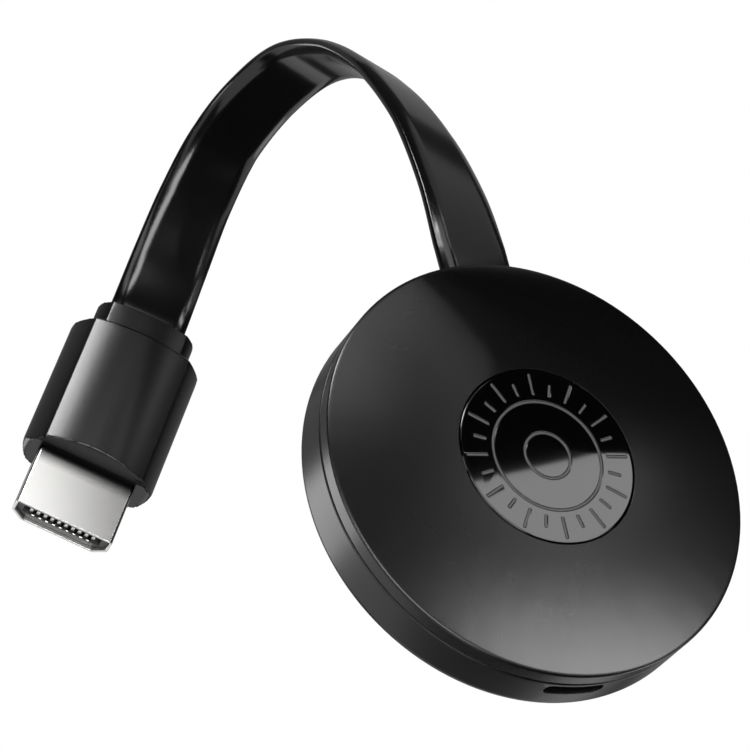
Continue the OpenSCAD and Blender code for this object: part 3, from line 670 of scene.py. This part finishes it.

# %% [markdown]
# ## Nickel of the plug's shell
# The root of the shell looks dark, most likely because the metal mirrors the plug's
# dark front there instead of the bright room. Light that leaves out just this band
# would also change the plug. So the dark band is a painted reflection in the
# metal's own colour: a copy of the nickel, in which the height along the plug is
# turned into a share that goes softly from the painted dark to the bright nickel.

# %% Nickel with a painted dark reflection at the root
ROOT_DARK, ROOT_BRIGHT = -0.3 * MM, -2.9 * MM
ROOT_GREY = 0.01
nickel_painted_shade = nickel.copy()
nickel_painted_shade.name = "nickel_painted_shade"
shell_tree = nickel_painted_shade.node_tree
spot = shell_tree.nodes.new("ShaderNodeTexCoord")
height = shell_tree.nodes.new("ShaderNodeVectorMath")
height.operation = "DOT_PRODUCT"
height.inputs[1].default_value = plug_z
unshaded_share = shell_tree.nodes.new("ShaderNodeMapRange")
unshaded_share.interpolation_type = "SMOOTHSTEP"
unshaded_share.inputs["From Min"].default_value = ROOT_DARK
unshaded_share.inputs["From Max"].default_value = ROOT_BRIGHT
# Painted reflection: near the plug's front the nickel's colour goes to a dark grey, where the metal would
# mirror the dark overmould.
painted_shade_mix = shell_tree.nodes.new("ShaderNodeMix")
painted_shade_mix.data_type = "RGBA"
painted_shade_mix.inputs["A"].default_value = (*grey(ROOT_GREY), 1)
join(shell_tree, spot.outputs["Object"], height.inputs[0])
join(shell_tree, height.outputs["Value"], unshaded_share.inputs["Value"])
join(shell_tree, unshaded_share.outputs["Result"], painted_shade_mix.inputs["Factor"])
join(shell_tree, shell_tree.nodes["tint"].outputs["Result"], painted_shade_mix.inputs["B"])
join(shell_tree, painted_shade_mix.outputs["Result"], shell_tree.nodes["Principled BSDF"].inputs["Base Color"])
print("dark band (mm):", round((ROOT_DARK - ROOT_BRIGHT) / MM, 1))

# %% [markdown]
# ## Pieces that the cable carries
# The shell is a bent sheet with a rolled edge, and the moulding in its mouth is
# crisp. Both are softened copies. All the pieces of the plug are gathered in one
# list.

# %% Pieces that the cable carries
SHELL_EDGE, MOUTH_EDGE = 0.09, 0.03
plug_pieces = [
    plug_body,
    plug_collar,
    # The shell's nickel carries the painted dark reflection at its root.
    softened("plug_shell", "dongle", nickel_painted_shade, SHELL_EDGE),
    softened("plug_insulator", "dongle", mouth_grey, MOUTH_EDGE),
    contact_row("near_contacts", 10, -1, CURL_NEAR, "contacts_upper"),
    contact_row("far_contacts", 9, 1, CURL_FAR, "contacts_lower"),
]

# %% [markdown]
# ## Dial on the inlay
# The inlay's thin lines are filled in grey. They could be painted by a texture,
# but the CAD part has real grooves. So the filling is a set of rounded strips
# that lie in them, a hair below the gloss: two rings and a ring of strokes.

# %% Places and sizes of the dial
inlay_low, inlay_high = [Vector(c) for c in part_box("face_inlay")]
INLAY_MIDDLE = (inlay_low + inlay_high) / 2
INLAY_RADIUS = (inlay_high.x - inlay_low.x) / 2
LINE_WIDTH, LINE_SINK, LINE_DEPTH, LINE_EDGE = 0.3 * MM, 0.015 * MM, 0.17 * MM, 0.05 * MM
RING_SHARES = [0.26, 0.62]
RING_STEPS = 160
STROKES = 24
STROKE_START_SHARE = 0.7
STROKE_END_SHARES = [0.94, 0.84]


def on_face(radius, angle, sink):
    return Vector((INLAY_MIDDLE.x + radius * math.cos(angle), inlay_low.y + sink,
                   INLAY_MIDDLE.z + radius * math.sin(angle)))


half_line = LINE_WIDTH / 2
strip_profile = [
    (-half_line, LINE_SINK + LINE_DEPTH), (-half_line, LINE_SINK + LINE_EDGE),
    (-half_line + LINE_EDGE, LINE_SINK), (half_line - LINE_EDGE, LINE_SINK),
    (half_line, LINE_SINK + LINE_EDGE), (half_line, LINE_SINK + LINE_DEPTH),
]
print("inlay radius (mm):", round(INLAY_RADIUS / MM, 2))

# %% [markdown]
# A ring is the strip's profile carried once round and closed on itself. A stroke
# is the same profile between two radii, and every second one is shorter.

# %% Dial lines
dial_points, dial_faces = [], []
sides = len(strip_profile)
for share in RING_SHARES:
    start = len(dial_points)
    for k in range(RING_STEPS):
        a = 2 * math.pi * k / RING_STEPS
        dial_points += [on_face(share * INLAY_RADIUS + u, a, v) for u, v in strip_profile]
    for k in range(RING_STEPS):
        after = (k + 1) % RING_STEPS
        for j in range(sides):
            beside = (j + 1) % sides
            ring_face = (k * sides + j, after * sides + j, after * sides + beside, k * sides + beside)
            dial_faces.append(tuple(start + corner for corner in ring_face))
for stroke in range(STROKES):
    start = len(dial_points)
    a = 2 * math.pi * stroke / STROKES
    along = Vector((math.cos(a), 0, math.sin(a)))
    aside = Vector((-math.sin(a), 0, math.cos(a)))
    for share in (STROKE_START_SHARE, STROKE_END_SHARES[stroke % 2]):
        reach = (share * INLAY_RADIUS) * along
        dial_points += [on_face(0, 0, v) + reach + u * aside for u, v in strip_profile]
    dial_faces += [tuple(start + i for i in face) for face in tube_faces(2, sides)]
dial = mesh_piece("dial_lines", dial_points, dial_faces)
dress(dial, "dongle", line_grey)
print("dial strips:", len(RING_SHARES) + STROKES)

# %% [markdown]
# ## Parts inside
# Board, chips, screws, wires and the socket's small parts sit in the housing.
# They could be left grey, but someone may open the model or hide a cover. Their
# CAD meshes are fine as they are, so each only gets the finish of its kind.

# %% Finishes of the CAD parts
CARRIED = {
    nickel: ["usb_socket_shell"],
    gold: ["usb_contacts", "antenna"],
    inner_black: ["usb_socket_tongue", "cable_anchor"],
    board_green: ["circuit_board"],
    chip_black: ["processor", "memory_chips", "storage_chip", "power_parts"],
    bright_metal: ["heat_spreader", "wireless_module", "tact_switch"],
    screw_steel: ["board_screws"],
    cream_mould: ["plug_inner_mould", "switch_plunger", "thermal_pad", "inlay_tape", "small_parts"],
    copper: ["cable_wires", "plug_wires"],
}
for material, names in CARRIED.items():
    for name in names:
        parts[name].data.materials.clear()
        parts[name].data.materials.append(material)
print("dressed CAD parts:", sum(len(names) for names in CARRIED.values()))

# %% [markdown]
# ## Light
# Black plastic shows little of its own colour. What the eye reads is what it
# mirrors, so the light is built from soft boxes with clear edges and a dark
# tent in front, as for a photograph of glossy goods on white. The world is the
# white room. The camera, reflections and glass see it at full strength, and it
# lights surfaces at a part of that, so that the boxes give the light its shape.

# %% World
ROOM_GLOW = 0.3
world = bpy.data.worlds.new("white_room")
bpy.context.scene.world = world
world.use_nodes = True
room_tree = world.node_tree
background = room_tree.nodes["Background"]
background.inputs["Color"].default_value = (1, 1, 1, 1)
rays = room_tree.nodes.new("ShaderNodeLightPath")
seen = room_tree.nodes.new("ShaderNodeMath")
seen.operation = "MAXIMUM"
shown = room_tree.nodes.new("ShaderNodeMath")
shown.operation = "MAXIMUM"
strength = room_tree.nodes.new("ShaderNodeMapRange")
strength.inputs["To Min"].default_value = ROOM_GLOW
strength.inputs["To Max"].default_value = 1.0
join(room_tree, rays.outputs["Is Camera Ray"], seen.inputs[0])
join(room_tree, rays.outputs["Is Glossy Ray"], seen.inputs[1])
join(room_tree, seen.outputs[0], shown.inputs[0])
join(room_tree, rays.outputs["Is Transmission Ray"], shown.inputs[1])
join(room_tree, shown.outputs[0], strength.inputs["Value"])
join(room_tree, strength.outputs["Result"], background.inputs["Strength"])
print("world:", world.name, "glow on surfaces:", ROOM_GLOW)

# %% [markdown]
# A soft box is a lit rectangle that faces what it lights. Its brightness could
# be set in watts, but then a larger box would look dimmer. Here each box is set
# by how bright its surface looks, where 1 is the white of the room.

# %% Soft box maker
def toward(start, azimuth, elevation, distance):
    a, e = math.radians(azimuth), math.radians(elevation)
    return start + distance * Vector((math.sin(a) * math.cos(e), -math.cos(a) * math.cos(e), math.sin(e)))


def soft_box(name, centre, aim, width, height, radiance, long_way=(0, 0, 1)):
    data = bpy.data.lights.new(name, "AREA")
    data.shape = "RECTANGLE"
    data.size, data.size_y = width, height
    data.energy = radiance * math.pi * width * height
    lamp = bpy.data.objects.new(name, data)
    bpy.context.scene.collection.objects.link(lamp)
    back = (Vector(centre) - Vector(aim)).normalized()
    side = Vector(long_way).cross(back).normalized()
    turn = Matrix((side, back.cross(side), back)).transposed().to_4x4()
    lamp.matrix_world = Matrix.Translation(Vector(centre)) @ turn


print("a box straight ahead stands at:", toward(mm(0, 0, 0), 0, 0, 1.0)[:])

# %% [markdown]
# Each box is there for one reflection. The low box, the inlay box and the face
# strip shape the disc's face and its inlay. The lip box, the slot box and the
# back box show the rim. The leg strip, the leg glow, the band box and the edge
# box draw the cable, and the left box and the shell box draw the plug.

# %% Soft boxes
DISC_MIDDLE = Vector((0.033, -0.060, -0.028))
PLUG_MIDDLE = Vector((0.0, 0.0, 0.0))
LEFT_LEG, RIGHT_LEG = Vector((-0.005, -0.003, 0.030)), Vector((0.033, -0.052, 0.010))
INLAY_SPOT = Vector((0.032, -0.062, -0.030))
EDGE_WAY = (-0.195, -0.057, 0.277)
BOX_DISTANCE, LEFT_DISTANCE, SHELL_DISTANCE, BACK_DISTANCE = 0.50, 0.45, 0.22, 0.80
soft_box("low_box", toward(DISC_MIDDLE, 31, -6, BOX_DISTANCE), DISC_MIDDLE, 0.32, 0.17, 8.5)
soft_box("inlay_box", (0.280, -0.450, 0.1425), INLAY_SPOT, 0.16, 0.045, 4.6)
soft_box("face_strip", toward(DISC_MIDDLE, 26, 29, BOX_DISTANCE), DISC_MIDDLE, 0.02, 0.16, 3.4)
soft_box("leg_strip", toward(RIGHT_LEG, 20, 41, BOX_DISTANCE), RIGHT_LEG, 0.014, 0.08, 9.0)
soft_box("leg_glow", toward(RIGHT_LEG, 50, 45, BOX_DISTANCE), RIGHT_LEG, 0.36, 0.26, 0.42)
soft_box("band_box", toward(LEFT_LEG, -43, 9, BOX_DISTANCE), LEFT_LEG, 0.20, 0.11, 2.4)
soft_box("left_box", toward(PLUG_MIDDLE, -19, 47, LEFT_DISTANCE), PLUG_MIDDLE, 0.13, 0.14, 24.0)
soft_box("shell_box", toward(PLUG_MIDDLE, 6, 27, SHELL_DISTANCE), PLUG_MIDDLE, 0.065, 0.08, 1.9)
soft_box("edge_box", (-0.090, -0.386, -0.108), LEFT_LEG, 0.09, 0.34, 9.0, EDGE_WAY)
soft_box("lip_box", toward(DISC_MIDDLE, -80, -2, BOX_DISTANCE), DISC_MIDDLE, 0.14, 0.14, 6.0)
soft_box("slot_box", (0.33, 0.10, -0.24), DISC_MIDDLE, 0.16, 0.16, 1.6)
soft_box("back_box", toward(DISC_MIDDLE, -146, 13, BACK_DISTANCE), DISC_MIDDLE, 0.22, 0.34, 4.2)
print("soft boxes:", len(bpy.data.lights))

# %% [markdown]
# ## Tent
# Glossy black goods are shot in a tent of dark cloth, open where a bright edge
# is wanted. A smaller white room would give less control. The sheets here are
# pieces of a sphere, and flat cards over the floor. Only reflections see them,
# so they leave the background, the shadows and the plain light as they are.

# %% Sheets and cloth
SHEET_COLUMNS, SHEET_ROWS = 24, 12
TENT_RADIUS = 1.2
SCENE_MIDDLE = mm(0, 0, 0)


def sheet_round(name, azimuths, elevations):
    points, faces = [], []
    for r in range(SHEET_ROWS + 1):
        elevation = elevations[0] + (elevations[1] - elevations[0]) * r / SHEET_ROWS
        for c in range(SHEET_COLUMNS + 1):
            azimuth = azimuths[0] + (azimuths[1] - azimuths[0]) * c / SHEET_COLUMNS
            points.append(toward(SCENE_MIDDLE, azimuth, elevation, TENT_RADIUS))
    for r in range(SHEET_ROWS):
        for c in range(SHEET_COLUMNS):
            a = r * (SHEET_COLUMNS + 1) + c
            faces.append((a, a + 1, a + SHEET_COLUMNS + 2, a + SHEET_COLUMNS + 1))
    return mesh_piece(name, points, faces)


def level_sheets(name, rectangles, height):
    points, faces = [], []
    for x0, x1, y0, y1 in rectangles:
        start = len(points)
        points += [(x0, y0, height), (x1, y0, height), (x1, y1, height), (x0, y1, height)]
        faces.append((start, start + 1, start + 2, start + 3))
    return mesh_piece(name, points, faces)


def cloth(name, glow):
    material = bpy.data.materials.new(name)
    material.use_nodes = True
    shader = material.node_tree.nodes["Principled BSDF"]
    shader.inputs["Base Color"].default_value = (0, 0, 0, 1)
    shader.inputs["Specular IOR Level"].default_value = 0
    shader.inputs["Emission Color"].default_value = (1, 1, 1, 1)
    shader.inputs["Emission Strength"].default_value = glow
    return material


def hang(sheet, material, blocks_light):
    sheet.data.materials.append(material)
    sheet.visible_camera = False
    sheet.visible_diffuse = False
    sheet.visible_shadow = blocks_light
    sheet.visible_transmission = blocks_light


print("faces of a sheet:", SHEET_COLUMNS * SHEET_ROWS)

# %% [markdown]
# The dark tent closes the front, the rear tent closes much of the lower back, and
# a grey sheet dims the upper back. Underneath, a pale card stands in for the floor in
# reflections, and three dark cards cover parts of it.

# %% Tent of dark cloth
black_cloth = cloth("black_cloth", 0)
grey_cloth = cloth("grey_cloth", 0.28)
pale_cloth = cloth("pale_cloth", 0.9)
PALE_HEIGHT, CARD_HEIGHT = -0.295, -0.29
PALE_CARD = (-2, 2, -2, 2)
DARK_CARDS = [(-0.35, 0.6, -1.2, -0.2), (-0.03, 0.3, -0.2, 0.15), (-0.6, 0.22, 0.15, 0.4)]
pale_card = level_sheets("pale_card", [PALE_CARD], PALE_HEIGHT)
tent = sheet_round("dark_tent", (-100, 100), (-60, 90))
rear_tent = sheet_round("rear_tent", (100, 205), (-60, 0))
rear_sheet = sheet_round("rear_sheet", (100, 260), (0, 90))
cards = level_sheets("dark_cards", DARK_CARDS, CARD_HEIGHT)
hang(tent, black_cloth, False)
hang(rear_tent, black_cloth, False)
hang(rear_sheet, grey_cloth, False)
hang(cards, black_cloth, False)
hang(pale_card, pale_cloth, False)
print("dark cards:", len(DARK_CARDS))

# %% [markdown]
# ## Flags
# Some boxes would also show in places that should stay black. Turning a box
# would spoil the reflection that it is there for. A photographer holds a small
# black flag in the way instead. The upright one keeps the left box off the
# cable's right leg. The level one keeps the upper boxes off the disc's face, and
# the low box off the cable's left leg.

# %% Flags
FLAGS = {
    "upright_flag": [
        (-0.015, -0.114, 0.068), (0.045, -0.114, 0.068), (0.045, -0.114, 0.16), (-0.008, -0.114, 0.16),
    ],
    "level_flag": [
        (0.022, -0.0622, 0.0015), (0.17, -0.0622, 0.0015), (0.17, -0.12, 0.0015), (0.05, -0.12, 0.0015),
        (0.04, -0.085, 0.0015),
    ],
}
for name, corners in FLAGS.items():
    hang(mesh_piece(name, corners, [tuple(range(len(corners)))]), black_cloth, True)
print("flags:", len(FLAGS))

# %% [markdown]
# ## Floor
# The floor is plain and pale, and takes the object's shadow. The room lights
# surfaces at a part of its strength, so a plain white floor would look grey, and
# more light would also change the object. So the floor shows a part of its
# paleness to the camera by itself. From below it is clear, because the picture
# is taken from under the object, and reflections see the pale card instead.

# %% Floor
FLOOR = (-3, 3, -3, 3)
FLOOR_HEIGHT = -0.3
FLOOR_GLOW = 0.55
floor_paint = bpy.data.materials.new("floor_paint")
floor_paint.use_nodes = True
floor_tree = floor_paint.node_tree
paint = floor_tree.nodes["Principled BSDF"]
paint.inputs["Base Color"].default_value = (*grey(0.85), 1)
paint.inputs["Roughness"].default_value = 0.6
paint.inputs["Specular IOR Level"].default_value = 0
paint.inputs["Emission Color"].default_value = (1, 1, 1, 1)
straight = floor_tree.nodes.new("ShaderNodeLightPath")
pale = floor_tree.nodes.new("ShaderNodeMapRange")
pale.inputs["To Min"].default_value = 0.0
pale.inputs["To Max"].default_value = FLOOR_GLOW
under = floor_tree.nodes.new("ShaderNodeNewGeometry")
clear = floor_tree.nodes.new("ShaderNodeBsdfTransparent")
choose = floor_tree.nodes.new("ShaderNodeMixShader")
join(floor_tree, straight.outputs["Is Camera Ray"], pale.inputs["Value"])
join(floor_tree, pale.outputs["Result"], paint.inputs["Emission Strength"])
join(floor_tree, under.outputs["Backfacing"], choose.inputs["Fac"])
join(floor_tree, paint.outputs["BSDF"], choose.inputs[1])
join(floor_tree, clear.outputs["BSDF"], choose.inputs[2])
join(floor_tree, choose.outputs["Shader"], floor_tree.nodes["Material Output"].inputs["Surface"])
floor = level_sheets("floor", [FLOOR], FLOOR_HEIGHT)
floor.data.materials.append(floor_paint)
floor.visible_glossy = False
print("floor height (m):", FLOOR_HEIGHT)

# %% [markdown]
# ## View
# The plain view transform shows a colour as it is written. Blender's default one
# softens strong contrasts, so the blacks and the whites could no longer be set
# against the picture.

# %% View settings
bpy.context.scene.view_settings.view_transform = "Standard"
print("view transform:", bpy.context.scene.view_settings.view_transform)
